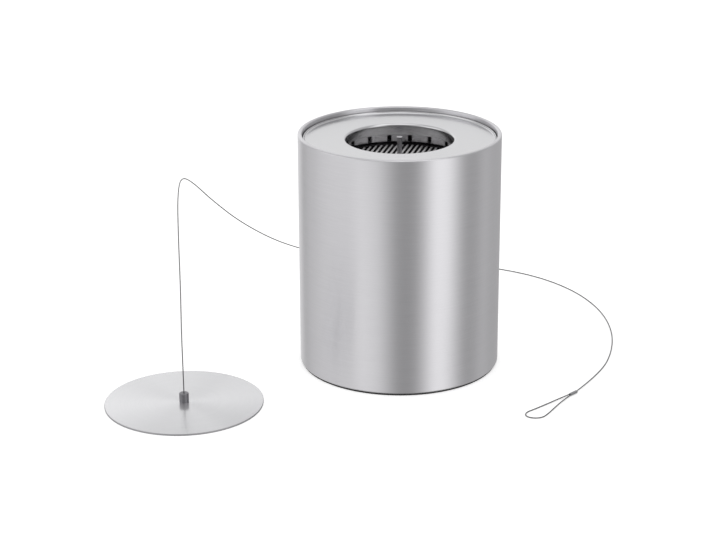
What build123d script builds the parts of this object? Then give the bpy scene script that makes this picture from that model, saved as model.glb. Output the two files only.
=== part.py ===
"""Tabletop fireplace: a drawn steel pot with a drop-in cover, a spirit burner and a wire-held snuffer.

Millimetres, +Z up. The origin is on the pot's axis, on the face that the pot stands on.
Seen from the front, which looks along +Y, the snuffer lies to the left of the pot.
"""
import os
from math import cos, degrees, pi, radians, tan

from build123d import *

# Direction of the back, in degrees from +X
back_angle = 90.0

# Pot: one drawn sheet, with its rim folded over into a hem inside the wall, on a thin pad
pot_diameter = 170.0
pot_height = 202.0
pot_sheet = 1.0
pot_corner = 1.5
rim_width = 3.6
rim_bend = 1.2
hem_depth = 5.4
pad_thickness = 1.5

# Cover: a pan that drops into the rim, with a collar turned down round its opening
cover_sheet = 1.0
cover_drop = 5.1
cover_gap = 0.8
cover_edge = 1.4
cover_bend = 1.2
opening_diameter = 90.0
collar_depth = 9.4
collar_bend = 2.0

# Clearance between a piece that lifts off and the seat below it
seat_gap = 0.3

# Lugs welded inside the pot's wall: the upper ones carry the cover, the lower ones the burner carrier
lug_sheet = 1.5
lug_width = 14.0
lug_leg = 9.0
lug_hold = 4.0
cover_lug_count = 4
cover_lug_angle = 45.0
carrier_lug_count = 3
carrier_lug_angle = back_angle

# Air ring: stands round the collar on the cup's flange, with a row of air slots near its foot
ring_gap = 10.5
ring_sheet = 0.8
ring_flange = 8.0
ring_bend = 0.8
ring_drop = 20.1
slot_count = 20
slot_width = 3.8
slot_height = 5.6
slot_corner = 0.8
slot_foot = 1.3
slot_turn = 1.3

# Burner cup: hangs by its flange, with a ledge near its mouth for the grille
cup_sheet = 0.8
cup_bend = 1.0
ledge_bend = 0.5
floor_bend = 2.0
cup_step = 2.0
cup_depth = 59.0
ledge_drop = 2.8
ledge_width = 3.0

# Grille: stout wires laid over thin cross wires, on an angle ring
mesh_pitch = 4.3
mesh_thickness = 1.6
mesh_wire = 1.9
mesh_cross_wire = 0.7
mesh_turn = 13.5
frame_sheet = 0.6
frame_width = 3.0
frame_gap = 0.3
mesh_edge_gap = 0.1

# Centre post: a rod from the cup's floor up through the mesh, with a low domed cap
rod_diameter = 4.2
rod_clearance = 0.1
cap_diameter = 4.8
cap_height = 3.2
cap_dome = 0.5
cap_socket = 1.2
cap_proud = 1.5
foot_diameter = 20.0
foot_thickness = 1.0
nut_flats = 7.0
nut_height = 3.2
washer_diameter = 12.0
washer_thickness = 1.0

# Absorbent wool in the cup
wool_height = 42.0
wool_gap = 0.3

# Rivets through the ring's and the cup's flanges
rivet_count = 6
rivet_diameter = 3.0
rivet_head_diameter = 5.4
rivet_head_height = 1.2
rivet_gap = 1.0

# Carrier: a ring under the cup's flange, clear of the rivets, with arms out to the lower lugs
carrier_sheet = 1.5
carrier_hold = 3.6
carrier_band = 8.0
arm_width = 12.0
arm_gap = 1.0
screw_diameter = 3.0
screw_clearance = 0.05
screw_head_diameter = 5.5
screw_head_height = 2.0
screw_tail = 2.0
screw_edge = 4.0

# Snuffer: a flat disc with a hub, which a grub screw clamps to the wire
disc_diameter = 130.0
disc_thickness = 1.5
disc_x = -178.0
disc_y = -97.0
hub_diameter = 7.8
hub_height = 7.5
hub_socket = 2.5
hub_clearance = 0.3
hub_chamfer = 0.3
wire_diameter = 1.0
wire_clearance = 0.05
wire_seat = 4.2
grub_diameter = 2.5
grub_height = 2.2

# Crimp sleeve at the wire's end, lying on the table
ferrule_width = 3.2
ferrule_thickness = 2.4
ferrule_lift = 0.1
crimp_depth = 1.5
strand_gap = 0.2
wire_lift = 0.1

# Each arc of the wire takes this share of its shorter run
arc_share = 0.45

# Radii and levels that follow from the sizes above
pot_radius = pot_diameter / 2
wall_inside = pot_radius - pot_sheet
cover_top = pot_height - cover_drop
cover_under = cover_top - cover_sheet
cover_radius = pot_radius - rim_width - cover_gap
opening_radius = opening_diameter / 2
ring_radius = opening_radius + cover_sheet + ring_gap
flange_top = cover_top - ring_drop
flange_under = flange_top - cup_sheet
ring_edge = ring_radius + ring_sheet + ring_flange
rivet_circle = ring_radius + ring_sheet + ring_flange / 2 + ring_bend / 2
carrier_inner = rivet_circle + rivet_head_diameter / 2 + rivet_gap
carrier_outer = carrier_inner + carrier_band
cup_edge = carrier_inner + carrier_hold
mouth_radius = ring_radius - cup_step
ledge_top = flange_top - ledge_drop
cup_radius = mouth_radius - ledge_width
floor_top = flange_top - cup_depth
mesh_under = ledge_top + frame_sheet
mesh_top = mesh_under + mesh_thickness
frame_radius = mouth_radius - frame_gap
rod_radius = rod_diameter / 2
cap_top = cover_top + cap_proud
cap_under = cap_top - cap_height
carrier_top = flange_under - seat_gap
carrier_under = carrier_top - carrier_sheet
arm_end = wall_inside - arm_gap
screw_circle = arm_end - screw_edge
hub_top = disc_thickness + hub_height
socket_radius = cap_diameter / 2 + hub_clearance
wire_radius = wire_diameter / 2
lie = wire_radius + wire_lift
ferrule_level = ferrule_thickness / 2 + ferrule_lift

# The wire's route, from the bottom of its hole in the hub: straight up, leaning back in a springy
# arch that comes down behind the pot, then along the table round its right side to the crimp
ferrule_back = (145.2, -79.8, ferrule_level)
ferrule_front = (139.4, -86.1, ferrule_level)
wire_route = [
    (disc_x, disc_y, hub_top - wire_seat),
    (disc_x, disc_y, 28),
    (-179.5, -84, 54),
    (-182, -52, 86),
    (-186.5, -8, 117),
    (-191, 45, 134),
    (-193, 102.5, 133),
    (-187.5, 154.5, 112),
    (-172.5, 193, 81.5),
    (-146.5, 223, 48.5),
    (-108, 243.5, 20),
    (-60, 255, 4),
    (-8, 257, lie),
    (43, 248.5, lie),
    (91, 230.5, lie),
    (136, 204, lie),
    (168.5, 163.5, lie),
    (187, 115, lie),
    (192.5, 63, lie),
    (186.5, 11.5, lie),
    (171, -37.5, lie),
]

# The eye's route, from the crimp's front face round and back to it
loop_route = [
    (129.6, -94, 1.2),
    (118, -104.5, 0.75),
    (107.6, -113.9, lie),
    (100.4, -120, lie),
    (98.9, -127.2, lie),
    (104.2, -131.8, lie),
    (112.3, -130.9, lie),
    (117.6, -123.6, lie),
    (123.7, -112.2, 0.7),
    (132, -98, 1.15),
]


def turned(outline):
    """A solid of revolution round the Z axis from a closed outline of (radius, height) points."""
    return revolve(make_face(Plane.XZ * Polyline(*outline, close=True)), axis=Axis.Z)


def pressed(line, sheet, side=Side.LEFT):
    """A sheet-metal shell of revolution: the line is one face, and the sheet lies on one side of it."""
    skin = offset(line, amount=sheet, side=side)
    return revolve(Plane.XZ * make_face(skin), axis=Axis.Z)


def disc(radius, bottom, height, hole=0.0):
    """A flat round piece on the Z axis, with an optional round hole."""
    face = Circle(radius)
    if hole > 0:
        face -= Circle(hole)
    return Pos(0, 0, bottom) * extrude(face, amount=height)


def dome(radius, height):
    """A spherical cap standing on Z = 0."""
    ball = (radius**2 + height**2) / (2 * height)
    arc = Line((0, 0), (radius, 0)) + RadiusArc((radius, 0), (0, height), -ball)
    return revolve(make_face(Plane.XZ * (arc + Line((0, height), (0, 0)))), axis=Axis.Z)


def around(piece, count, start=0.0):
    """Copies of a piece, evenly spaced round the Z axis."""
    return [Rot(0, 0, start + 360 * i / count) * piece for i in range(count)]


def pot_shell():
    """Bottom, wall and hemmed rim from one sheet, between its outer and its inner face."""
    hem = pot_radius - rim_width
    hem_end = pot_height - hem_depth
    outer = FilletPolyline((0, pad_thickness), (pot_radius, pad_thickness), (pot_radius, pot_height),
                           (hem, pot_height), (hem, hem_end), radius=[pot_corner, rim_bend, rim_bend])
    hem_back = hem + pot_sheet
    floor = pad_thickness + pot_sheet
    rim_under = pot_height - pot_sheet
    inner_bend = rim_bend - pot_sheet
    inner = FilletPolyline((0, floor), (wall_inside, floor), (wall_inside, rim_under),
                           (hem_back, rim_under), (hem_back, hem_end),
                           radius=[pot_corner - pot_sheet, inner_bend, inner_bend])
    ends = Line((0, pad_thickness), (0, floor)) + Line((hem, hem_end), (hem_back, hem_end))
    return revolve(make_face(Plane.XZ * (outer + inner + ends)), axis=Axis.Z)


def base_pad():
    return disc(pot_radius - pot_corner, 0, pad_thickness)


def lug(inner, top, hole=None):
    """One welded lug at +X: a level leg for the load and an upright leg against the wall."""
    outline = [(inner, top), (wall_inside, top), (wall_inside, top - lug_leg),
               (wall_inside - lug_sheet, top - lug_leg), (wall_inside - lug_sheet, top - lug_sheet),
               (inner, top - lug_sheet)]
    face = make_face(Plane.XZ * Polyline(*outline, close=True))
    sweep_angle = degrees(lug_width / wall_inside)
    piece = Rot(0, 0, -sweep_angle / 2) * revolve(face, axis=Axis.Z, revolution_arc=sweep_angle)
    if hole:
        piece -= Pos(screw_circle, 0, top) * Cylinder(hole, 2 * lug_leg)
    return piece


def cover_lugs():
    flat_edge = cover_radius - cover_sheet - cover_bend
    return around(lug(flat_edge - lug_hold, cover_under - seat_gap), cover_lug_count, cover_lug_angle)


def carrier_lugs():
    piece = lug(screw_circle - screw_edge, carrier_under, screw_diameter / 2 + screw_clearance)
    return around(piece, carrier_lug_count, carrier_lug_angle)


def burner_carrier():
    """The ring under the cup's flange, with arms that are screwed to the lower lugs."""
    face = Circle(carrier_outer)
    middle = (carrier_outer + carrier_inner) / 2
    arm = Pos((middle + arm_end) / 2, 0) * Rectangle(arm_end - middle, arm_width)
    hole = Pos(screw_circle, 0) * Circle(screw_diameter / 2 + screw_clearance)
    for turn in range(carrier_lug_count):
        face += Rot(0, 0, carrier_lug_angle + 360 * turn / carrier_lug_count) * arm
    for turn in range(carrier_lug_count):
        face -= Rot(0, 0, carrier_lug_angle + 360 * turn / carrier_lug_count) * hole
    face -= Circle(carrier_inner)
    return Pos(0, 0, carrier_under) * extrude(face, amount=carrier_sheet)


def carrier_screws():
    length = carrier_sheet + lug_sheet + screw_tail
    shank = Pos(0, 0, -length) * extrude(Circle(screw_diameter / 2), amount=length)
    screw = shank + dome(screw_head_diameter / 2, screw_head_height)
    return around(Pos(screw_circle, 0, carrier_top) * screw, carrier_lug_count, carrier_lug_angle)


def cover_plate():
    """Upturned edge, flat plate and turned-down collar from one sheet, drawn along its upper face."""
    inner_edge = cover_radius - cover_sheet
    face = FilletPolyline((inner_edge, cover_top + cover_edge), (inner_edge, cover_top),
                          (opening_radius, cover_top), (opening_radius, cover_top - collar_depth),
                          radius=[cover_bend, collar_bend])
    return pressed(face, cover_sheet)


def air_ring():
    """The ring's wall, with a foot turned outwards and the row of slots just above it."""
    top = cover_under - seat_gap
    outer = ring_radius + ring_sheet
    foot = flange_top + ring_sheet
    face = FilletPolyline((outer, top), (outer, foot), (ring_edge, foot), radius=[ring_bend])
    ring = pressed(face, ring_sheet, Side.RIGHT)
    slot_middle = flange_top + slot_foot + slot_height / 2
    slot = Plane.YZ * RectangleRounded(slot_width, slot_height, slot_corner)
    cutter = Pos(0, 0, slot_middle) * extrude(slot, amount=ring_edge)
    half_step = 180 / slot_count
    for piece in around(cutter, slot_count, back_angle + half_step - slot_turn):
        ring -= piece
    for piece in rivet_places(rivet_hole()):
        ring -= piece
    return ring


def rivet_places(piece):
    return around(Pos(rivet_circle, 0, flange_top) * piece, rivet_count)


def rivet_hole():
    """A cutter that passes both flanges."""
    reach = ring_sheet + cup_sheet
    return Pos(0, 0, -reach) * extrude(Circle(rivet_diameter / 2), amount=reach + 2 * ring_sheet)


def ring_rivets():
    """Each rivet: a shank through both flanges with a rounded head above and below."""
    length = ring_sheet + cup_sheet
    head = dome(rivet_head_diameter / 2, rivet_head_height)
    shank = Pos(0, 0, -cup_sheet) * extrude(Circle(rivet_diameter / 2), amount=length)
    rivet = shank + Pos(0, 0, ring_sheet) * head + Pos(0, 0, -cup_sheet) * Rot(180, 0, 0) * head
    return rivet_places(rivet)


def burner_cup():
    """Flange, mouth, ledge, wall and floor from one sheet, drawn along its inner face."""
    face = FilletPolyline((cup_edge, flange_top), (mouth_radius, flange_top), (mouth_radius, ledge_top),
                          (cup_radius, ledge_top), (cup_radius, floor_top), (0, floor_top),
                          radius=[cup_bend, ledge_bend, cup_bend, floor_bend])
    cup = pressed(face, cup_sheet)
    for piece in rivet_places(rivet_hole()):
        cup -= piece
    return cup


def fuel_wool():
    """A washer of wool, pushed down over the rod's nut."""
    bore = nut_flats / 2 / cos(radians(30)) + wool_gap
    return disc(cup_radius - wool_gap, floor_top + foot_thickness, wool_height, bore)


def grille_frame():
    """An angle ring: the mesh lies on its level leg, and the wires' ends meet its upright leg."""
    inner = frame_radius - frame_width
    upright = frame_radius - frame_sheet
    ring = turned([(inner, ledge_top), (frame_radius, ledge_top), (frame_radius, mesh_top),
                   (upright, mesh_top), (upright, mesh_under), (inner, mesh_under)])
    fold = ring.edges().filter_by(GeomType.CIRCLE).group_by(Axis.Z)[0].sort_by(SortBy.RADIUS)[-1]
    return fillet(fold, max(frame_sheet, ledge_bend))


def grille_mesh():
    """A round blank with rows of oblong holes, turned off the view's line: the stout wires run away."""
    edge = frame_radius - frame_sheet - mesh_edge_gap
    hole_width = mesh_pitch - mesh_wire
    hole_length = mesh_pitch - mesh_cross_wire
    reach = edge - mesh_wire
    rows = int(edge / mesh_pitch) + 1
    turn = Rot(0, 0, -mesh_turn)
    holes = []
    for i in range(-rows, rows + 1):
        for j in range(-rows, rows + 1):
            x = i * mesh_pitch
            y = j * mesh_pitch
            far_corner = Vector(abs(x) + hole_width / 2, abs(y) + hole_length / 2)
            if far_corner.length < reach and Vector(x, y).length > washer_diameter / 2:
                holes.append(turn * Pos(x, y) * Wire.make_rect(hole_width, hole_length))
    holes.append(Wire.make_circle(rod_radius + rod_clearance))
    blank = Face(Wire.make_circle(edge), holes)
    return Pos(0, 0, mesh_under) * extrude(blank, amount=mesh_thickness)


def centre_post():
    top = cap_under + cap_socket
    bottom = floor_top + foot_thickness
    return disc(rod_radius, bottom, top - bottom)


def post_cap():
    """Low domed cap, pressed over the end of the rod."""
    straight = cap_height - cap_dome
    body = disc(cap_diameter / 2, cap_under, straight) + Pos(0, 0, cap_under + straight) * dome(
        cap_diameter / 2, cap_dome)
    return body - disc(rod_radius, cap_under, cap_socket)


def post_foot():
    """Round foot, spot-welded to the cup's floor."""
    return disc(foot_diameter / 2, floor_top, foot_thickness)


def nut(bottom):
    face = RegularPolygon(nut_flats / 2, 6, major_radius=False) - Circle(rod_radius + rod_clearance)
    return Pos(0, 0, bottom) * extrude(face, amount=nut_height)


def base_nut():
    return nut(floor_top + foot_thickness)


def grille_nuts():
    """One nut under the mesh and one over it, each against a washer."""
    return [nut(mesh_under - washer_thickness - nut_height), nut(mesh_top + washer_thickness)]


def grille_washers():
    bore = rod_radius + rod_clearance
    return [disc(washer_diameter / 2, mesh_under - washer_thickness, washer_thickness, bore),
            disc(washer_diameter / 2, mesh_top, washer_thickness, bore)]


def snuffer_disc():
    return Pos(disc_x, disc_y) * disc(disc_diameter / 2, 0, disc_thickness, socket_radius)


def snuffer_hub():
    """Turned hub: a socket below for the post's cap, a hole above for the wire, one for the grub screw."""
    hub = extrude(Circle(hub_diameter / 2), amount=hub_height)
    hub = chamfer(hub.edges().group_by(Axis.Z)[-1], hub_chamfer)
    hub -= disc(socket_radius, 0, hub_socket)
    hub -= disc(wire_radius + wire_clearance, hub_height - wire_seat, wire_seat)
    hub -= Pos(0, 0, hub_height - grub_height) * grub(hub_diameter)
    return Pos(disc_x, disc_y, disc_thickness) * hub


def grub(length):
    """The grub screw's cylinder, from the wire outwards along +Y."""
    return Pos(0, wire_radius, 0) * extrude(Plane.XZ * Circle(grub_diameter / 2), amount=-length)


def hub_screw():
    length = hub_diameter / 2 - wire_radius - 2 * hub_chamfer
    return Pos(disc_x, disc_y, hub_top - grub_height) * grub(length)


def corner_radii(route):
    """The radius of each corner's arc, as large as its two runs allow."""
    radii = []
    points = [Vector(point) for point in route]
    for before, corner, after in zip(points, points[1:], points[2:]):
        run_in = corner - before
        run_out = after - corner
        turn = radians(run_in.get_angle(run_out))
        radii.append(arc_share * min(run_in.length, run_out.length) / tan(turn / 2))
    return radii


def tube(route, name):
    """A round wire along straight runs that are joined by tangent arcs."""
    radii = corner_radii(route)
    path = FilletPolyline(*route, radius=radii)
    section = Plane(origin=path @ 0, z_dir=path % 0) * Circle(wire_radius)
    solid = sweep(section, path=path)
    ratio = solid.volume / (pi * wire_radius**2 * path.length)
    print(f"{name}: {path.length:.0f} mm long, volume is {ratio:.4f} of section times length")
    print(f"{name} radii:", " ".join(f"{radius:.1f}" for radius in radii))
    return solid


def crimp_direction():
    """Through the crimp, from the wire's side to the eye's side."""
    return (Vector(ferrule_front) - Vector(ferrule_back)).normalized()


def snuffer_wire():
    """The springy wire, with its end held in the crimp."""
    end = Vector(ferrule_back) + crimp_direction() * crimp_depth
    return tube([*wire_route, end], "snuffer_wire")


def wire_ferrule():
    """Crimp sleeve, pressed oval round the wire and both strands of the eye."""
    level = Plane(origin=ferrule_back, x_dir=(0, 0, 1), z_dir=crimp_direction())
    length = (Vector(ferrule_front) - Vector(ferrule_back)).length
    return extrude(level * Ellipse(ferrule_thickness / 2, ferrule_width / 2), amount=length)


def wire_loop():
    """The eye, with its two ends side by side in the crimp."""
    inside = Vector(ferrule_front) - crimp_direction() * crimp_depth
    aside = crimp_direction().cross(Vector(0, 0, 1)) * (wire_radius + strand_gap / 2)
    return tube([inside + aside, *loop_route, inside - aside], "wire_loop")


nodes = {
    "pot_shell": pot_shell,
    "base_pad": base_pad,
    "cover_lugs": cover_lugs,
    "carrier_lugs": carrier_lugs,
    "burner_carrier": burner_carrier,
    "carrier_screws": carrier_screws,
    "burner_cup": burner_cup,
    "air_ring": air_ring,
    "ring_rivets": ring_rivets,
    "fuel_wool": fuel_wool,
    "grille_mesh": grille_mesh,
    "grille_frame": grille_frame,
    "centre_post": centre_post,
    "post_cap": post_cap,
    "post_foot": post_foot,
    "base_nut": base_nut,
    "grille_nuts": grille_nuts,
    "grille_washers": grille_washers,
    "cover_plate": cover_plate,
    "snuffer_disc": snuffer_disc,
    "snuffer_hub": snuffer_hub,
    "hub_screw": hub_screw,
    "snuffer_wire": snuffer_wire,
    "wire_ferrule": wire_ferrule,
    "wire_loop": wire_loop,
}

os.makedirs("parts", exist_ok=True)
for name, make in nodes.items():
    made = make()
    export_step(Compound(children=made) if isinstance(made, list) else made, f"parts/{name}.step")
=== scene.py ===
# %% [markdown]
# # A tabletop fireplace in brushed steel
#
# A round steel pot holds a spirit burner under a drop-in cover plate, and a flat snuffer disc lies beside it
# on a long springy wire. The construction comes in finished, at its real size, so this lesson is about looks:
# lathe-like meshes for drawn steel, a grille of welded wires, a stranded wire rope, and brushed metal that
# shows soft upright bands under studio light.
#
# The first step is always the same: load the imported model. Each of its parts is an object whose vertices are
# already in place, in metres, so new pieces can take their sizes from it and need no fitting.

# %% Load the frame
import math

import bmesh
import bpy
from mathutils import Matrix, Vector, noise


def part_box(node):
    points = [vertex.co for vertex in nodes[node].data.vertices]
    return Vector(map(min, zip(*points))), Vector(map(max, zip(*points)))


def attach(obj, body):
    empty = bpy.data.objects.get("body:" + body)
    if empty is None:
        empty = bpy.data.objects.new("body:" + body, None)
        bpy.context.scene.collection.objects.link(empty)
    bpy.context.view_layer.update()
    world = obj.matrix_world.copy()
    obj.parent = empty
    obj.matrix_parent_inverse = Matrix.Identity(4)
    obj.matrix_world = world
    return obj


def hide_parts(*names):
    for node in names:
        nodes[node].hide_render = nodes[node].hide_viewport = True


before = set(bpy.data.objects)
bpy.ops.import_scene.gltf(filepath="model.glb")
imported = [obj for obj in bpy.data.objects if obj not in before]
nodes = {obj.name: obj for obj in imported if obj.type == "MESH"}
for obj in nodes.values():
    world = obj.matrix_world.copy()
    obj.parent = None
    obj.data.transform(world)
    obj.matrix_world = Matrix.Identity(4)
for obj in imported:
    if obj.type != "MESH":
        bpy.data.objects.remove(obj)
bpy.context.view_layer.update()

mm = 0.001
print("parts in the frame:", len(nodes))

# %% [markdown]
# ## The camera
#
# The picture was taken with a long lens from a little above the rim. A camera is six numbers of place and
# turn and one of lens. They could be found by eye, but here they were solved from the pot's own ellipses, so
# only the result is set. The focal length comes in pixels of the picture, and the lens takes it in the same
# share of the sensor's width.

# %% Camera
sensor_width = 36.0
picture_width = 716
focal_length = 1941.5
camera_place = Vector((-0.03514, -1.55848, 0.63929))
camera_pitch = math.radians(19.73)
camera_roll = math.radians(-0.25)
nearest_seen = 10 * mm


def make_camera():
    """A camera that looks along +Y, pitched down, with a slight roll round its own line of sight."""
    data = bpy.data.cameras.new("camera")
    data.sensor_width = sensor_width
    data.lens = focal_length / picture_width * sensor_width
    data.clip_start = nearest_seen
    camera = bpy.data.objects.new("camera", data)
    bpy.context.scene.collection.objects.link(camera)
    aim = Matrix.Rotation(math.pi / 2 - camera_pitch, 4, "X") @ Matrix.Rotation(camera_roll, 4, "Z")
    camera.matrix_world = Matrix.Translation(camera_place) @ aim
    bpy.context.scene.camera = camera
    return camera


print("lens in mm:", round(make_camera().data.lens, 1))

# %% [markdown]
# ## The snuffer's wire
#
# The wire is a thin stranded rope that is stiff enough to stand up in an arch. Its line is one smooth spline
# with few points: up out of the hub, back over the arch, down behind the pot and round its right side on the
# table. They could all be chosen by hand, but here they were fitted to the wire's line in the picture.
# About half of them are that fit's points, rounded, and the rest were then added or moved one by one.
#
# A curve with a round bevel would be the quick way to a wire. A real rope shows six outer strands that wind
# round a core, so the spline is only the centre line here, and the tube round it gets a lobed section that
# turns as it goes. The eye at the wire's end is a tube of the same kind.

# %% The two routes, in metres
wire_route = [
    (-0.178, -0.097, 0.0048),
    (-0.178, -0.097, 0.028),
    (-0.1795, -0.084, 0.054),
    (-0.182, -0.052, 0.086),
    (-0.1865, -0.008, 0.117),
    (-0.191, 0.045, 0.134),
    (-0.193, 0.1025, 0.133),
    (-0.1875, 0.1545, 0.112),
    (-0.1725, 0.193, 0.0815),
    (-0.1465, 0.223, 0.0485),
    (-0.108, 0.2435, 0.02),
    (-0.06, 0.255, 0.004),
    (-0.008, 0.257, 0.0006),
    (0.043, 0.2485, 0.0006),
    (0.091, 0.2305, 0.0006),
    (0.136, 0.204, 0.0006),
    (0.1685, 0.1635, 0.0006),
    (0.187, 0.115, 0.0006),
    (0.1925, 0.063, 0.0006),
    (0.1865, 0.0115, 0.0006),
    (0.171, -0.0375, 0.0006),
    (0.14418, -0.0809, 0.0013),
]
eye_route = [
    (0.13998, -0.08459, 0.0013),
    (0.1296, -0.094, 0.0012),
    (0.118, -0.1045, 0.00075),
    (0.1076, -0.1139, 0.0006),
    (0.1004, -0.12, 0.0006),
    (0.0989, -0.1272, 0.0006),
    (0.1042, -0.1318, 0.0006),
    (0.1123, -0.1309, 0.0006),
    (0.1176, -0.1236, 0.0006),
    (0.1237, -0.1122, 0.0007),
    (0.132, -0.098, 0.00115),
    (0.14086, -0.0854, 0.0013),
]


# %% A smooth centre line
rounding_error = 1e-9


def centre_line(points, steps=24):
    """Points along one smooth open spline with these control points."""
    curve = bpy.data.curves.new("line", "CURVE")
    curve.dimensions = "3D"
    curve.resolution_u = steps
    spline = curve.splines.new("NURBS")
    spline.points.add(len(points) - 1)
    for point, place in zip(spline.points, points):
        point.co = (*place, 1)
    spline.order_u = 3
    spline.use_endpoint_u = True
    holder = bpy.data.objects.new("line", curve)
    mesh = bpy.data.meshes.new_from_object(holder)
    line = [vertex.co.copy() for vertex in mesh.vertices]
    bpy.data.objects.remove(holder)
    bpy.data.curves.remove(curve)
    bpy.data.meshes.remove(mesh)
    return line


def length_of(line):
    """The length along a line of points."""
    return sum((b - a).length for a, b in zip(line, line[1:]))


def evenly(line, step):
    """The same line with its points about one step apart."""
    count = max(2, round(length_of(line) / step))
    gap = length_of(line) / count
    found = [line[0]]
    walked = 0.0
    for a, b in zip(line, line[1:]):
        run = (b - a).length
        while run > 0 and walked + run >= gap * len(found) - rounding_error and len(found) < count:
            found.append(a.lerp(b, (gap * len(found) - walked) / run))
        walked += run
    return found + [line[-1]]


# %% Mesh helpers
sharp_angle = math.radians(50)
same_place = 1e-7


def new_object(name, vertices, faces):
    """A welded mesh object with outward normals and smooth shading, apart from its sharp edges."""
    mesh = bpy.data.meshes.new(name)
    mesh.from_pydata(vertices, [], faces)
    tidy = bmesh.new()
    tidy.from_mesh(mesh)
    bmesh.ops.remove_doubles(tidy, verts=tidy.verts, dist=same_place)
    bmesh.ops.recalc_face_normals(tidy, faces=tidy.faces)
    tidy.to_mesh(mesh)
    tidy.free()
    mesh.shade_smooth()
    mesh.set_sharp_from_angle(angle=sharp_angle)
    made = bpy.data.objects.new(name, mesh)
    bpy.context.scene.collection.objects.link(made)
    return made


def oval(size, around):
    """The outline of an oval section, from its width and its height."""
    turns = [math.tau * j / around for j in range(around)]
    return [(size[0] / 2 * math.cos(a), size[1] / 2 * math.sin(a)) for a in turns]


def ring_faces(rings, around):
    """Quads between neighbouring rings of vertices, with a flat face over each end."""
    faces = []
    for i in range(rings - 1):
        for j in range(around):
            k = (j + 1) % around
            faces.append((i * around + j, i * around + k, (i + 1) * around + k, (i + 1) * around + j))
    faces.append(tuple(range(around)))
    faces.append(tuple((rings - 1) * around + j for j in range(around)))
    return faces


def along_line(line, section):
    """Vertices of a tube: at each point of the line, section(i) gives the (side, up) offsets."""
    vertices = []
    side = (line[1] - line[0]).orthogonal().normalized()
    for i, place in enumerate(line):
        ahead = (line[min(i + 1, len(line) - 1)] - line[max(i - 1, 0)]).normalized()
        side = (side - ahead * side.dot(ahead)).normalized()
        up = ahead.cross(side)
        vertices += [place + side * x + up * y for x, y in section(i)]
    return vertices


# %% A stranded wire rope
wire_diameter = 1.0 * mm
strands = 6
strand_radius = wire_diameter / 6
lay_length = 9 * mm
wire_step = 0.5 * mm

# Where the outline of a strand gets its corners, in degrees from the strand's middle
strand_corners = (-30, -15, 0, 15)


def rope_section(turn):
    """Outline of six strands round a core of the same thickness, turned by an angle."""
    outline = []
    circle = 2 * strand_radius
    for i in range(strands):
        for corner in strand_corners:
            a = math.radians(corner)
            bulge = math.sqrt(max(0, strand_radius**2 - (circle * math.sin(a)) ** 2))
            reach = circle * math.cos(a) + bulge
            b = turn + a + i * math.tau / strands
            outline.append((reach * math.cos(b), reach * math.sin(b)))
    return outline


def rope(name, route):
    """A wire rope along a smooth line, and that line."""
    line = evenly(centre_line(route), wire_step)
    turn = math.tau * wire_step / lay_length
    vertices = along_line(line, lambda i: rope_section(i * turn))
    made = new_object(name, vertices, ring_faces(len(line), len(vertices) // len(line)))
    print(name, "is", round(length_of(line), 3), "m long")
    return made, line


snuffer_wire, wire_line = rope("wire_rope", wire_route)
eye, eye_line = rope("wire_eye", eye_route)

# %% [markdown]
# The rope's end goes into a pressed sleeve that also holds both ends of the eye. A real sleeve starts as an
# oval tube and a tool squeezes it in a few places, so it is thickest between the bites, and its mouths are
# rounded. That is a tube again, along a straight line, whose oval section changes in size along the way.

# %% The pressed sleeve
sleeve_back = Vector((0.1452, -0.0798, 0.0013))
sleeve_front = Vector((0.1394, -0.0861, 0.0013))
sleeve_width = 3.2 * mm
sleeve_thickness = 2.4 * mm
sleeve_bites = 3
bite_depth = 0.1
bite_spread = 0.3
mouth_size = 0.82
sleeve_rounding = 0.06
sleeve_rings = 41


def sleeve_section(share):
    """The oval outline at a share of the sleeve's length, from 0 to 1."""
    bite = bite_depth * (0.5 - 0.5 * math.cos(math.tau * sleeve_bites * share))
    from_end = min(share, 1 - share)
    mouth = mouth_size + (1 - mouth_size) * math.sqrt(min(1, from_end / sleeve_rounding))
    width = sleeve_width * (1 - bite_spread * bite) * mouth
    thickness = sleeve_thickness * (1 - bite) * mouth
    return oval((width, thickness), around=28)


def make_sleeve():
    """The pressed tube, lying level between its two mouths."""
    vertices = []
    side = (sleeve_front - sleeve_back).normalized().cross(Vector((0, 0, 1)))
    for i in range(sleeve_rings):
        share = i / (sleeve_rings - 1)
        place = sleeve_back.lerp(sleeve_front, share)
        vertices += [place + side * x + Vector((0, 0, y)) for x, y in sleeve_section(share)]
    return new_object("crimp_sleeve", vertices, ring_faces(sleeve_rings, len(vertices) // sleeve_rings))


sleeve = make_sleeve()
for piece, node, slot in (
    (snuffer_wire, "snuffer_wire", "wire_rope"),
    (eye, "wire_loop", "wire_rope"),
    (sleeve, "wire_ferrule", "crimp"),
):
    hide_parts(node)
    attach(piece, "snuffer")

# %% [markdown]
# ## Colours and shader nodes
#
# Colours are written as the familiar sRGB hex values. Blender wants them linear, so one function converts
# them. Materials are built from nodes, and one small function adds a node with its settings and links, which
# keeps each material below to the few lines that describe it. The steps that several materials share have
# functions too: a value that follows a noise, a colour made lighter or darker, and the test whether a ray
# goes straight to the eye.


# %% Colour and node helpers
noise_low = 0.3
noise_high = 0.7


def colour(code):
    """An sRGB hex value as a linear colour."""
    parts = [int(code[i:i + 2], 16) / 255 for i in (1, 3, 5)]
    return tuple(c / 12.92 if c <= 0.04045 else ((c + 0.055) / 1.055) ** 2.4 for c in parts) + (1,)


def add(tree, kind, inputs=None, **settings):
    """A new node: settings are its properties, inputs are values or other nodes' outputs."""
    node = tree.nodes.new(kind)
    for name, value in settings.items():
        setattr(node, name, value)
    for name, value in (inputs or {}).items():
        if isinstance(value, bpy.types.NodeSocket):
            tree.links.new(value, node.inputs[name])
        else:
            node.inputs[name].default_value = value
    return node


def grey(level):
    """A grey as a linear colour."""
    return (level, level, level, 1)


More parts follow.
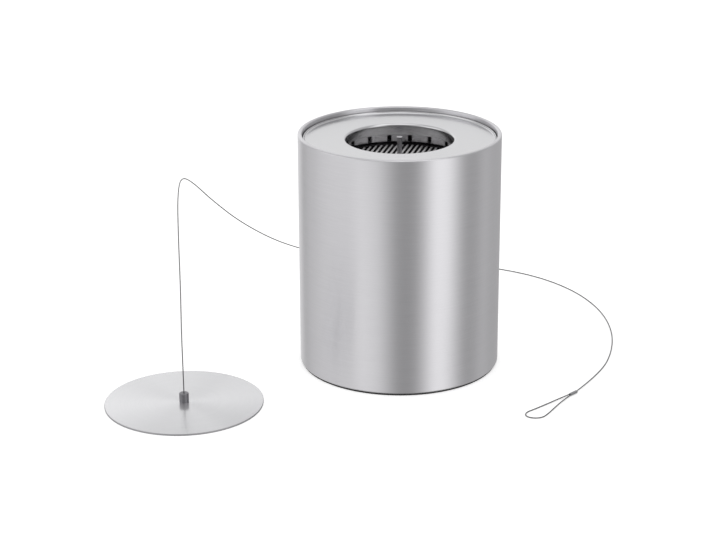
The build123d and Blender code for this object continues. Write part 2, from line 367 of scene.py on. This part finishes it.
def varied(tree, pattern, low, high):
    """A value from low to high that follows a noise, most of which lies in a narrow middle range."""
    return add(tree, "ShaderNodeMapRange", {"Value": pattern, "From Min": noise_low, "From Max": noise_high,
                                            "To Min": low, "To Max": high}).outputs[0]


def tinted(tree, code, tone):
    """A colour, made darker or lighter by a tone around 1."""
    shade = {0: colour(code)[:3], "Scale": tone}
    return add(tree, "ShaderNodeVectorMath", shade, operation="SCALE").outputs[0]


def seen_directly(tree, path):
    """1 for rays that reach the eye straight or through glass, and 0 for all others."""
    direct = {0: path.outputs["Is Camera Ray"], 1: path.outputs["Is Transmission Ray"]}
    return add(tree, "ShaderNodeMath", direct, operation="MAXIMUM").outputs[0]


def new_material(name):
    """An empty material with its output node, and its node tree."""
    made = bpy.data.materials.new(name)
    made.use_nodes = True
    made.node_tree.nodes.clear()
    return made, made.node_tree, add(made.node_tree, "ShaderNodeOutputMaterial")


def dress(piece, material):
    """Gives a piece one material, in its object's own slot, so that no mesh is changed."""
    if not piece.material_slots:
        piece.data.materials.append(None)
    for slot in piece.material_slots:
        slot.link = "OBJECT"
        slot.material = material


# %% [markdown]
# ## Brushed stainless steel
#
# The pot, cover and disc are stainless sheet that was spun against an abrasive, so the scratches run round
# the axis. Each scratch is a tiny groove: along it the metal mirrors sharply, across it light is smeared.
# That is why the pot shows soft upright bands, and the disc a fan of light. Anisotropy does the smearing,
# with a tangent that runs round the axis. A noise that is long round the axis and very short across it gives
# the scratches themselves. The streak coordinate is the distance from the axis plus the height, so one
# pattern works on walls, flats and rolled edges, with no seam.
#
# A brush doesn't reach everywhere. Between deep scratches some metal stays smooth and gives a second, soft
# mirror image, which shows the hub's reflection in the disc. So the material is a mix of two shaders, and
# the smooth one has a share of its own, none on the pot and more than half on the disc.

# %% Brushed steel
brush_pitch = 0.45 * mm
brush_length = 22 * mm
broad_pitch = 9 * brush_pitch
broad_length = 4 * brush_length
broad_share = 0.25
gloss_spread = 0.05
smooth_roughness = 0.2
quarter_turn = 0.25


def streak_place(tree, pitch, length):
    """Coordinates that are stretched round the axis: a step of one is a scratch's width or its length."""
    place = add(tree, "ShaderNodeTexCoord")
    parts = add(tree, "ShaderNodeSeparateXYZ", {"Vector": place.outputs["Object"]})
    flat = add(tree, "ShaderNodeCombineXYZ", {"X": parts.outputs["X"], "Y": parts.outputs["Y"]})
    radius = add(tree, "ShaderNodeVectorMath", {0: flat.outputs[0]}, operation="LENGTH")
    across = add(tree, "ShaderNodeMath", {0: radius.outputs["Value"], 1: parts.outputs["Z"]}, operation="ADD")
    streak = add(tree, "ShaderNodeMath", {0: across.outputs[0], 1: 1 / pitch}, operation="MULTIPLY")
    along = add(tree, "ShaderNodeVectorMath", {0: flat.outputs[0], "Scale": 1 / length}, operation="SCALE")
    split = add(tree, "ShaderNodeSeparateXYZ", {"Vector": along.outputs[0]})
    return add(tree, "ShaderNodeCombineXYZ", {"X": split.outputs["X"], "Y": split.outputs["Y"],
                                             "Z": streak.outputs[0]}).outputs[0]


def brushed_steel(name, code, roughness, anisotropy, relief, spread=0.06, smooth_share=0.0):
    """Stainless steel with circular brushing: the scratches vary its colour, gloss and height a little.

    A share of the surface can stay smooth between the scratches and mirror softly."""
    made, tree, output = new_material(name)
    fine = add(tree, "ShaderNodeTexNoise", {"Vector": streak_place(tree, brush_pitch, brush_length),
                                            "Scale": 1.0, "Detail": 3.0, "Roughness": 0.7})
    broad = add(tree, "ShaderNodeTexNoise", {"Vector": streak_place(tree, broad_pitch, broad_length),
                                             "Scale": 1.0, "Detail": 2.0})
    both = add(tree, "ShaderNodeMix", {"Factor": broad_share, "A": fine.outputs["Fac"],
                                       "B": broad.outputs["Fac"]}).outputs["Result"]
    tint = tinted(tree, code, varied(tree, both, 1 - spread, 1 + spread))
    gloss = varied(tree, both, roughness - gloss_spread, roughness + gloss_spread)
    grooves = add(tree, "ShaderNodeBump", {"Height": fine.outputs["Fac"], "Distance": relief,
                                           "Strength": 1.0})
    tangent = add(tree, "ShaderNodeTangent", direction_type="RADIAL", axis="Z")
    steel = add(tree, "ShaderNodeBsdfPrincipled", {
        "Base Color": tint, "Metallic": 1.0, "Roughness": gloss, "Anisotropic": anisotropy,
        "Anisotropic Rotation": quarter_turn, "Normal": grooves.outputs[0], "Tangent": tangent.outputs[0]})
    flats = add(tree, "ShaderNodeBsdfPrincipled", {"Base Color": tint, "Metallic": 1.0,
                                                   "Roughness": smooth_roughness})
    whole = add(tree, "ShaderNodeMixShader", {0: smooth_share, 1: steel.outputs[0], 2: flats.outputs[0]})
    tree.links.new(whole.outputs[0], output.inputs["Surface"])
    return made


# %% Four brushed finishes
# Fine brushing round the wall: every reflection is drawn out upwards into a soft band with a fine grain
pot_steel = brushed_steel("brushed_stainless_steel", "#d5d4d7", 0.34, 0.9, 0.002 * mm, 0.05)
# A satin plate with little direction: even and pale, and it mirrors the inside of the rim as a dark band
plate_steel = brushed_steel("satin_stainless_plate", "#d2d2d4", 0.2, 0.3, 0.001 * mm, 0.03)
# Scratches round the hub with smooth metal between them: a fan of light that turns about the hub
disc_steel = brushed_steel("spun_stainless_disc", "#e0e0e2", 0.36, 0.92, 0.0015 * mm, 0.04, 0.6)
# Drawn sheet, only lightly brushed: blurred glints and dark patches side by side on the inside of the ring
ring_steel = brushed_steel("drawn_stainless_ring", "#d5d4d7", 0.28, 0.5, 0.001 * mm, 0.05)
print("scratch pitch in mm:", brush_pitch / mm)

# %% [markdown]
# ## Pieces made on a lathe
#
# The pot was drawn from one sheet and its rim was folded over into a hem. The cover was pressed and the disc
# was cut round, so all three are the same all the way round an upright axis. A screw modifier would do, or a
# profile curve, but writing the outline as points of radius and height and turning it in a loop gives full
# control of how fine each rounding is. Straight stretches need two points and round ones an arc.


# %% The lathe
def arc(middle, radius, start, end, steps=10):
    """Points of an arc in an outline, from one angle to another, in degrees from outwards."""
    angles = [math.radians(start + (end - start) * i / steps) for i in range(steps + 1)]
    return [(middle[0] + radius * math.cos(a), middle[1] + radius * math.sin(a)) for a in angles]


def lathe(name, outline, around=256, centre=(0, 0)):
    """A closed outline of (radius, height) points, turned round an upright axis."""
    vertices = []
    for j in range(around):
        a = math.tau * j / around
        vertices += [(r * math.cos(a), r * math.sin(a), z) for r, z in outline]
    count = len(outline)
    faces = []
    for j in range(around):
        k = (j + 1) % around
        for i in range(count):
            n = (i + 1) % count
            if outline[i][0] > 0 or outline[n][0] > 0:
                faces.append((j * count + i, k * count + i, k * count + n, j * count + n))
    made = new_object(name, vertices, faces)
    made.location = (*centre, 0)
    return made


def dress_some(piece, material, wanted):
    """Gives a second material to the faces of a dressed piece that a test picks."""
    piece.data.materials.append(None)
    second = piece.material_slots[1]
    second.link = "OBJECT"
    second.material = material
    for face in piece.data.polygons:
        if wanted(face):
            face.material_index = 1


def seat(piece, material, body, slot, *stands_for):
    """Dresses a finished piece, seats it on its body and hides the plain parts that it stands for."""
    dress(piece, material)
    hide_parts(*stands_for)
    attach(piece, body)


def reach_of(node, centre=(0, 0)):
    """The least and the greatest distance of a part's vertices from an upright axis."""
    away = [math.hypot(v.co.x - centre[0], v.co.y - centre[1]) for v in nodes[node].data.vertices]
    return min(away), max(away)


# %% The pot
sheet = 1.0 * mm
pot_radius = reach_of("pot_shell")[1]
pot_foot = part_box("pot_shell")[0].z
pot_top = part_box("pot_shell")[1].z
pot_corner = 1.5 * mm
rim_width = 3.6 * mm
rim_bend = 1.2 * mm
hem_depth = 5.4 * mm
cut_round = 0.3 * mm


def cut_end(inner, outer, height, up):
    """The rounded cut end of an upright sheet, as outline points from its outer to its inner face."""
    turn = 1 if up else -1
    middle = height - turn * cut_round
    outer_round = arc((outer - cut_round, middle), cut_round, 0, turn * 90, steps=4)
    inner_round = arc((inner + cut_round, middle), cut_round, turn * 90, turn * 180, steps=4)
    return outer_round + inner_round


def pot_outline():
    """Round the outside of the sheet from the middle of the bottom, over the rim and back down inside."""
    corner = (pot_radius - pot_corner, pot_foot + pot_corner)
    hem = pot_radius - rim_width
    outer = (pot_radius - rim_bend, pot_top - rim_bend)
    inner = (hem + rim_bend, pot_top - rim_bend)
    outside = [(0, pot_foot)] + arc(corner, pot_corner, -90, 0)
    over = arc(outer, rim_bend, 0, 90) + arc(inner, rim_bend, 90, 180)
    end = cut_end(hem, hem + sheet, pot_top - hem_depth, False)[::-1]
    under = arc(inner, rim_bend - sheet, 180, 90, steps=4) + arc(outer, rim_bend - sheet, 90, 0, steps=4)
    floor = arc(corner, pot_corner - sheet, 0, -90) + [(0, pot_foot + sheet)]
    return outside + over + end + under + floor


seat(lathe("pot", pot_outline(), around=320), pot_steel, "pot", "brushed_steel", "pot_shell")
print("pot across, in mm:", round(2 * pot_radius / mm, 1))

# %% [markdown]
# The cover is a shallow pan. Its edge turns up a little inside the rim, and the sheet turns down round the
# opening in a soft roll, which catches a bright line of light at the back of the opening. The cut ends of
# the sheet have a small rounding, because a real cut edge is never knife-sharp.

# %% The cover plate
opening_radius, cover_radius = reach_of("cover_plate")
cover_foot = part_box("cover_plate")[0].z
cover_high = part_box("cover_plate")[1].z
cover_edge = 1.4 * mm
cover_top = cover_high - cover_edge
cover_bend = 1.2 * mm
roll = 2.0 * mm


def cover_outline():
    """Up the outside of the edge, in over the plate, down the collar and back underneath."""
    bend = (cover_radius - sheet - cover_bend, cover_top + cover_bend)
    neck = (opening_radius + roll, cover_top - roll)
    edge = cut_end(cover_radius - sheet, cover_radius, cover_high, True)
    top = arc(bend, cover_bend, 0, -90, steps=8) + arc(neck, roll, 90, 180, steps=12)
    collar = cut_end(opening_radius, opening_radius + sheet, cover_foot, False)[::-1]
    under = arc(neck, roll - sheet, 180, 90, steps=8) + arc(bend, cover_bend + sheet, -90, 0, steps=8)
    return edge + top + collar + under


seat(lathe("cover", cover_outline(), around=320), plate_steel, "cover", "brushed_steel", "cover_plate")
print("opening across, in mm:", round(2 * opening_radius / mm, 1))

# %% [markdown]
# The snuffer's disc is a plain round plate with circular brushing about its own centre. The piece keeps its
# own upright axis as its origin, because the brushing pattern and the tangent go round the object's origin.
# Its cut edge gets a rougher steel of its own further down, whose darker grey is painted shade: the floor's
# shade at the disc's foot, as the edge would mirror it.

# %% The snuffer disc
disc_low, disc_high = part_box("snuffer_disc")
disc_centre = ((disc_low.x + disc_high.x) / 2, (disc_low.y + disc_high.y) / 2)
disc_hole, disc_radius = reach_of("snuffer_disc", disc_centre)


def disc_outline():
    """Round the rim from below, in over the top and down the hole for the hub."""
    face_radius = disc_radius - cut_round
    rim = [(face_radius, disc_low.z)]
    rim += arc((face_radius, disc_low.z + cut_round), cut_round, -90, 0, steps=4)
    rim += arc((face_radius, disc_high.z - cut_round), cut_round, 0, 90, steps=4)
    return rim + [(disc_hole, disc_high.z), (disc_hole, disc_low.z)]


disc = lathe("disc", disc_outline(), centre=disc_centre)
seat(disc, disc_steel, "snuffer", "brushed_steel", "snuffer_disc")
print("disc across, in mm:", round(2 * disc_radius / mm, 1))

# %% [markdown]
# ## The rest of the steel
#
# The burner, the fasteners and the wires are metal with other surfaces: milled, turned, drawn or darkened by
# the flame. The darkest of them is also painted shade, made nearly black for the shadowed inside of the
# burner.
# Only the turned hub has a clear direction, and it is a brushed steel like those above. For the
# rest a plain noise varies colour, gloss and height a little, and each finish differs in its grey, its
# roughness and the size of its grain. Oxide takes the mirror away from metal that has been in a flame, so
# the grille's wires count as metal only in part.


# %% Bare metal
cloud_gloss_spread = 0.06


def bare_metal(name, code, roughness, grain, relief, spread=0.08, metallic=1.0):
    """Bare metal with a fine grain that varies its colour, gloss and height."""
    made, tree, output = new_material(name)
    place = add(tree, "ShaderNodeTexCoord")
    cloud = add(tree, "ShaderNodeTexNoise", {"Vector": place.outputs["Object"], "Scale": 1 / grain,
                                             "Detail": 4.0, "Roughness": 0.6}).outputs["Fac"]
    tint = tinted(tree, code, varied(tree, cloud, 1 - spread, 1 + spread))
    gloss = varied(tree, cloud, roughness - cloud_gloss_spread, roughness + cloud_gloss_spread)
    bump = add(tree, "ShaderNodeBump", {"Height": cloud, "Distance": relief, "Strength": 1.0})
    metal = add(tree, "ShaderNodeBsdfPrincipled", {"Base Color": tint, "Metallic": metallic,
                                                   "Roughness": gloss, "Normal": bump.outputs[0]})
    tree.links.new(metal.outputs[0], output.inputs["Surface"])
    return made


# %% Nine metals
# Milled sheet: a dull and faintly cloudy sheen on the lugs and the carrier, deep inside the pot
sheet_steel = bare_metal("milled_steel_sheet", "#8f8d92", 0.34, 1.2 * mm, 0.004 * mm)
# Darkened by the flame, and made nearly black as painted shade for the shadowed inside of the burner: just
# enough gloss to show the cup's round wall
burnt_steel_and_painted_shade = bare_metal("heat_darkened_steel_and_painted_shade", "#3a383c", 0.45, 1.5 * mm, 0.004 * mm)
# Turned from bar: fine rings that blur the hub's reflections into one darker grey
turned_steel = brushed_steel("turned_steel_bar", "#8c8b8f", 0.45, 0.5, 0.003 * mm, 0.08)
# Bright fasteners: small clear glints
bright_steel = bare_metal("bright_stainless_fastener", "#c2c1c4", 0.25, 0.6 * mm, 0.002 * mm)
# Drawn rod: one clean highlight down the post and a bright dome on top, with hardly any grain
rod_steel = bare_metal("drawn_steel_rod", "#c0bfc2", 0.3, 0.2 * mm, 0.0004 * mm, 0.03)
# Drawn wire: its strands break the light up, so the rope reads as one soft dark line from afar
rope_steel = bare_metal("drawn_steel_wire", "#868587", 0.4, 0.3 * mm, 0.001 * mm)
# Wire dulled by the flame: pale and partly matt, so that it stands out against the dark below it
mesh_steel = bare_metal("flame_dulled_steel_wire", "#e6e5e6", 0.5, 0.8 * mm, 0.002 * mm, 0.08, 0.4)
# A sheared edge: rough, with a darker grey that is painted shade, the floor's shade at the disc's foot as the
# edge mirrors it; it draws one even grey line round the disc
edge_steel_painted_shade = bare_metal("sheared_steel_edge_painted_shade", "#b8b7ba", 0.65, 0.4 * mm, 0.003 * mm)
# Pressed aluminium: softer and duller than the steel wire that it grips
sleeve_metal = bare_metal("pressed_aluminium", "#a3a3a5", 0.45, 0.5 * mm, 0.004 * mm)
for piece, material in ((snuffer_wire, rope_steel), (eye, rope_steel), (sleeve, sleeve_metal)):
    dress(piece, material)
# The disc's cut edge gets the darker steel: painted shade along its foot
dress_some(disc, edge_steel_painted_shade, lambda face: math.hypot(face.center.x, face.center.y) > disc_radius - cut_round)

# %% [markdown]
# ## The grille
#
# The grille is a welded mesh: a row of stout flattened wires that run away from the viewer, laid over thin
# cross wires. A texture of lines would look flat at this low angle, so every wire is its own little tube,
# cut to the length that the round frame leaves it. The cross wires lie in the shade of the stout ones, and
# their near-black steel is painted shade, as dark as the cup, so that the gaps between the stout ones look
# deep.

# %% The wire grille
grille_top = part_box("grille_mesh")[1].z
mesh_pitch = 4.3 * mm
mesh_turn = math.radians(-13.5)
grille_radius = reach_of("grille_mesh")[1]
wire_end_gap = 0.2 * mm
mesh_bore = 2.3 * mm

# The width and the height of each kind of wire
stout_wire = (1.9 * mm, 0.85 * mm)
cross_wire = (0.7 * mm, 0.5 * mm)
cross_top = grille_top - stout_wire[1]


def grille_runs(offset, margin):
    """Where one straight wire begins and ends, in one piece, or in two that leave out the rod's hole."""
    end = math.sqrt(grille_radius**2 - offset**2) - wire_end_gap
    if abs(offset) < mesh_bore:
        return [(-end, -mesh_bore - margin), (mesh_bore + margin, end)]
    return [(-end, end)]


def wire_row(size, top, turn):
    """One layer of parallel wires: for each straight wire, the vertices of its two ends."""
    section = oval(size, around=12)
    middle = top - size[1] / 2
    rows = int(grille_radius / mesh_pitch)
    wires = []
    for row in range(-rows, rows + 1):
        offset = row * mesh_pitch
        for ends in grille_runs(offset, size[0] / 2):
            spots = [Vector((offset + x, end, middle + y)) for end in ends for x, y in section]
            wires.append([Matrix.Rotation(turn, 3, "Z") @ spot for spot in spots])
    return wires


def make_grille():
    """All the wires, both ways, as one mesh."""
    across = mesh_turn - math.pi / 2
    vertices = []
    faces = []
    for wire in wire_row(stout_wire, grille_top, mesh_turn) + wire_row(cross_wire, cross_top, across):
        faces += [tuple(len(vertices) + v for v in face) for face in ring_faces(2, len(wire) // 2)]
        vertices += wire
    print("grille faces:", len(faces))
    return new_object("wire_grille", vertices, faces)


grille = make_grille()
seat(grille, mesh_steel, "burner", "mesh", "grille_mesh")
# The cross wires take the near-black steel, which paints the shade under the stout wires
dress_some(grille, burnt_steel_and_painted_shade, lambda face: face.center.z < cross_top)

# %% [markdown]
# ## The wool, the pad and the parts that stay as they are
#
# The wool in the cup is a pressed fibre pad. Its top is uneven, so the lathe piece gets many rings of
# vertices there, which a noise lowers by different amounts. The pad under the pot is dark rubber. All the
# small steel parts have their right shape already, and they only get their material.

# %% Wool
wool_low, wool_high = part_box("fuel_wool")
wool_bore, wool_radius = reach_of("fuel_wool")
wool_dip = 0.9 * mm
wool_swing = 0.6 * mm
wool_rounding = 3 * mm
wool_skin = 1 * mm
tuft = 4 * mm
small_tuft = 1.3 * mm


def wool_outline(steps=26):
    """A rounded ring whose top has many points, so that its vertices can be lowered one by one."""
    outside = wool_radius - wool_rounding
    inside = wool_bore + wool_rounding
    shoulder = wool_high.z - wool_rounding
    low_round = arc((outside, wool_low.z + wool_rounding), wool_rounding, -90, 0, steps=5)
    high_round = arc((outside, shoulder), wool_rounding, 0, 75, steps=5)
    top = [(outside - (outside - inside) * i / steps, wool_high.z) for i in range(steps + 1)]
    inner_round = arc((inside, shoulder), wool_rounding, 105, 180, steps=5)
    return low_round + high_round + top + inner_round + [(wool_bore, wool_low.z)]


def make_wool():
    """The pad, with the vertices of its top lowered by noise of two sizes."""
    made = lathe("wool_pad", wool_outline(), around=160)
    for vertex in made.data.vertices:
        if vertex.co.z > wool_high.z - wool_skin:
            lump = noise.noise(vertex.co / tuft) + noise.noise(vertex.co / small_tuft) / 2
            vertex.co.z -= wool_dip + wool_swing * lump
    return made


# %% Mineral wool
fibre_gap = 0.8 * mm
fibre_relief = 0.4 * mm
# Greys darker than fresh wool: painted shade under the grille
wool_greys_painted_shade = [(0.35, "#5e5b57"), (0.65, "#a5a19a")]


def wool_material():
    """Mineral wool: quite matt, so that it looks soft, and darker than fresh wool as painted shade under the
    grille, so that the gaps between the wires stay dark.
    """
    made, tree, output = new_material("pressed_mineral_wool")
    place = add(tree, "ShaderNodeTexCoord")
    fibres = add(tree, "ShaderNodeTexNoise", {"Vector": place.outputs["Object"], "Scale": 1 / fibre_gap,
                                              "Detail": 6.0, "Distortion": 2.5})
    tone = add(tree, "ShaderNodeValToRGB", {"Fac": fibres.outputs["Fac"]})
    for stop, (position, code) in zip(tone.color_ramp.elements, wool_greys_painted_shade):
        stop.position = position
        stop.color = colour(code)
    bump = add(tree, "ShaderNodeBump", {"Height": fibres.outputs["Fac"], "Distance": fibre_relief,
                                        "Strength": 0.8})
    shader = add(tree, "ShaderNodeBsdfPrincipled", {"Base Color": tone.outputs["Color"], "Roughness": 0.95,
                                                    "Normal": bump.outputs[0]})
    tree.links.new(shader.outputs[0], output.inputs["Surface"])
    return made


seat(make_wool(), wool_material(), "burner", "wool", "fuel_wool")

# %% Rubber
rubber_grain = 0.5 * mm
rubber_relief = 0.05 * mm


def rubber_material():
    """Moulded rubber: dark and matt, so that it shows only as a thin black line under the pot."""
    made, tree, output = new_material("moulded_rubber")
    place = add(tree, "ShaderNodeTexCoord")
    grain = add(tree, "ShaderNodeTexNoise", {"Vector": place.outputs["Object"], "Scale": 1 / rubber_grain,
                                             "Detail": 3.0}).outputs["Fac"]
    tone = add(tree, "ShaderNodeMapRange", {"Value": grain, "To Min": 0.85, "To Max": 1.15}).outputs[0]
    bump = add(tree, "ShaderNodeBump", {"Height": grain, "Distance": rubber_relief})
    shader = add(tree, "ShaderNodeBsdfPrincipled", {"Base Color": tinted(tree, "#2b2a2b", tone),
                                                    "Roughness": 0.7, "Normal": bump.outputs[0]})
    tree.links.new(shader.outputs[0], output.inputs["Surface"])
    return made


# %% Materials for the parts that stay
finishes = {
    rubber_material(): ["base_pad"],
    ring_steel: ["air_ring"],
    sheet_steel: ["cover_lugs", "carrier_lugs", "burner_carrier"],
    # The cup, the grille's frame and the post's foot take the near-black steel, which paints the shade deep in
    # the burner
    burnt_steel_and_painted_shade: ["burner_cup", "grille_frame", "post_foot"],
    bright_steel: ["carrier_screws", "ring_rivets", "base_nut", "grille_nuts", "grille_washers", "hub_screw"],
    rod_steel: ["centre_post", "post_cap"],
    turned_steel: ["snuffer_hub"],
}
for material, names in finishes.items():
    for name in names:
        dress(nodes[name], material)
print("parts that stay:", sum(len(names) for names in finishes.values()))

# %% [markdown]
# ## Floor and light
#
# Steel shows what stands round it, so the light is most of the look. The camera looks down on the table, so
# an upright wall mirrors what lies below the horizon, and a level plate what lies above it at the back. The
# floor is paper to the eye and to diffuse light, but lets reflected rays through, and the world behind it
# stands in for the table and the studio. It is bright but not even. Two rings of greys, one below the horizon
# and one above it, change with the compass direction: a dark gap where the camera stands, a broad soft window
# to the left and a brighter one to the right. Straight up is a dim ceiling. Straight down is dark, which
# gives the bend at the pot's foot its dark line.
#
# The camera sees plain white in place of the world, by the Light Path node. The floor gets a little light of
# its own for the camera, so that it clips to white and still keeps a shadow.

# %% Floor
floor_size = 6.0
paper_white = "#f2f2f2"
paper_glow = 0.45


def paper_material():
    """White paper: matt and white to the eye, with soft shadows, and clear to reflected rays."""
    made, tree, output = new_material("white_paper")
    path = add(tree, "ShaderNodeLightPath")
    paper = add(tree, "ShaderNodeBsdfDiffuse", {"Color": colour(paper_white)})
    glow = add(tree, "ShaderNodeEmission", {"Color": grey(1), "Strength": paper_glow})
    lit = add(tree, "ShaderNodeAddShader", {0: paper.outputs[0], 1: glow.outputs[0]})
    mix = add(tree, "ShaderNodeMixShader", {0: seen_directly(tree, path), 1: paper.outputs[0],
                                            2: lit.outputs[0]})
    through = add(tree, "ShaderNodeBsdfTransparent")
    whole = add(tree, "ShaderNodeMixShader", {0: path.outputs["Is Glossy Ray"], 1: mix.outputs[0],
                                              2: through.outputs[0]})
    tree.links.new(whole.outputs[0], output.inputs["Surface"])
    return made


def make_floor():
    """A large square of paper, with the paper material."""
    mesh = bpy.data.meshes.new("floor")
    half = floor_size / 2
    corners = [(-half, -half, 0), (half, -half, 0), (half, half, 0), (-half, half, 0)]
    mesh.from_pydata(corners, [], [(0, 1, 2, 3)])
    floor = bpy.data.objects.new("floor", mesh)
    bpy.context.scene.collection.objects.link(floor)
    floor.data.materials.append(paper_material())


make_floor()

# %% The studio's light by compass direction
# Degrees from the front, counted towards the right, and the level there, below and then above the horizon
compass_low = [(-180, 1.0), (-152, 0.85), (-139, 0.5), (-125, 0.76), (-98, 0.81), (-61, 0.91), (-45, 1.24),
               (-26, 1.13), (-15, 0.83), (-3, 0.47), (8, 0.42), (17, 0.5), (30, 0.97), (41, 1.36), (55, 1.33),
               (67, 0.87), (80, 0.5), (92, 0.47), (110, 0.68), (128, 0.54), (162, 0.48), (175, 1.0)]
compass_high = [(-180, 0.95), (-160, 1.15), (-145, 0.9), (-125, 0.6), (-110, 0.7), (-98, 1.2), (-61, 1.2),
                (-46, 0.7), (-25, 0.5), (-14, 0.35), (25, 0.35), (36, 1.2), (60, 1.2), (74, 0.45), (110, 0.5),
                (140, 0.65), (165, 0.85), (178, 0.95)]
zenith = 0.65
nadir = 0.25

# The heights of a direction, from -1 straight down to 1 straight up, between which one level becomes the next
horizon = (-0.1, 0.12)
to_zenith = (0.45, 0.8)
to_nadir = (-0.65, -0.9)


def level_by_compass(tree, share, levels):
    """A ramp over the whole circle, from one back to the other, with a grey for each direction."""
    ramp = add(tree, "ShaderNodeValToRGB", {"Fac": share})
    stops = ramp.color_ramp.elements
    while len(stops) < len(levels):
        stops.new(0.5)
    for stop, (degrees, level) in zip(stops, levels):
        stop.position = degrees / 360 + 0.5
        stop.color = grey(level)
    return ramp.outputs["Color"]


def blend(tree, factor, first, second):
    """A mix of two colours: the factor runs from the first to the second."""
    return add(tree, "ShaderNodeMix", {"Factor": factor, 6: first, 7: second}, data_type="RGBA").outputs[2]


def between(tree, value, limits):
    """A share that grows from 0 to 1 while a value runs between two limits."""
    return add(tree, "ShaderNodeMapRange", {"Value": value, "From Min": limits[0],
                                            "From Max": limits[1]}).outputs[0]


# %% The world
def make_world():
    """The studio as reflections and soft light see it, and plain white for the camera."""
    world = bpy.data.worlds.new("studio")
    bpy.context.scene.world = world
    world.use_nodes = True
    tree = world.node_tree
    tree.nodes.clear()
    place = add(tree, "ShaderNodeTexCoord")
    parts = add(tree, "ShaderNodeSeparateXYZ", {"Vector": place.outputs["Generated"]})
    front = add(tree, "ShaderNodeMath", {0: parts.outputs["Y"], 1: -1.0}, operation="MULTIPLY")
    angle = add(tree, "ShaderNodeMath", {0: parts.outputs["X"], 1: front.outputs[0]}, operation="ARCTAN2")
    share = between(tree, angle.outputs[0], (-math.pi, math.pi))
    height = parts.outputs["Z"]
    low = level_by_compass(tree, share, compass_low)
    high = level_by_compass(tree, share, compass_high)
    below = blend(tree, between(tree, height, to_nadir), low, grey(nadir))
    above = blend(tree, between(tree, height, to_zenith), high, grey(zenith))
    sky = blend(tree, between(tree, height, horizon), below, above)
    view = blend(tree, seen_directly(tree, add(tree, "ShaderNodeLightPath")), sky, grey(1))
    back = add(tree, "ShaderNodeBackground", {"Color": view, "Strength": 1.0})
    output = add(tree, "ShaderNodeOutputWorld")
    tree.links.new(back.outputs[0], output.inputs["Surface"])


make_world()


# %% One soft lamp
lamp_place = Vector((0.15, -0.3, 1.8))
lamp_aim = Vector((0, 0, 0.1))
lamp_size = 1.6
lamp_watts = 6


def make_lamp():
    """A large softbox overhead, which lights the plates, the rims and the grille from above."""
    data = bpy.data.lights.new("overhead_softbox", "AREA")
    data.size = lamp_size
    data.energy = lamp_watts
    lamp = bpy.data.objects.new("overhead_softbox", data)
    bpy.context.scene.collection.objects.link(lamp)
    lamp.location = lamp_place
    lamp.rotation_euler = (lamp_aim - lamp_place).to_track_quat("-Z", "Y").to_euler()


make_lamp()
bpy.context.scene.view_settings.view_transform = "Standard"
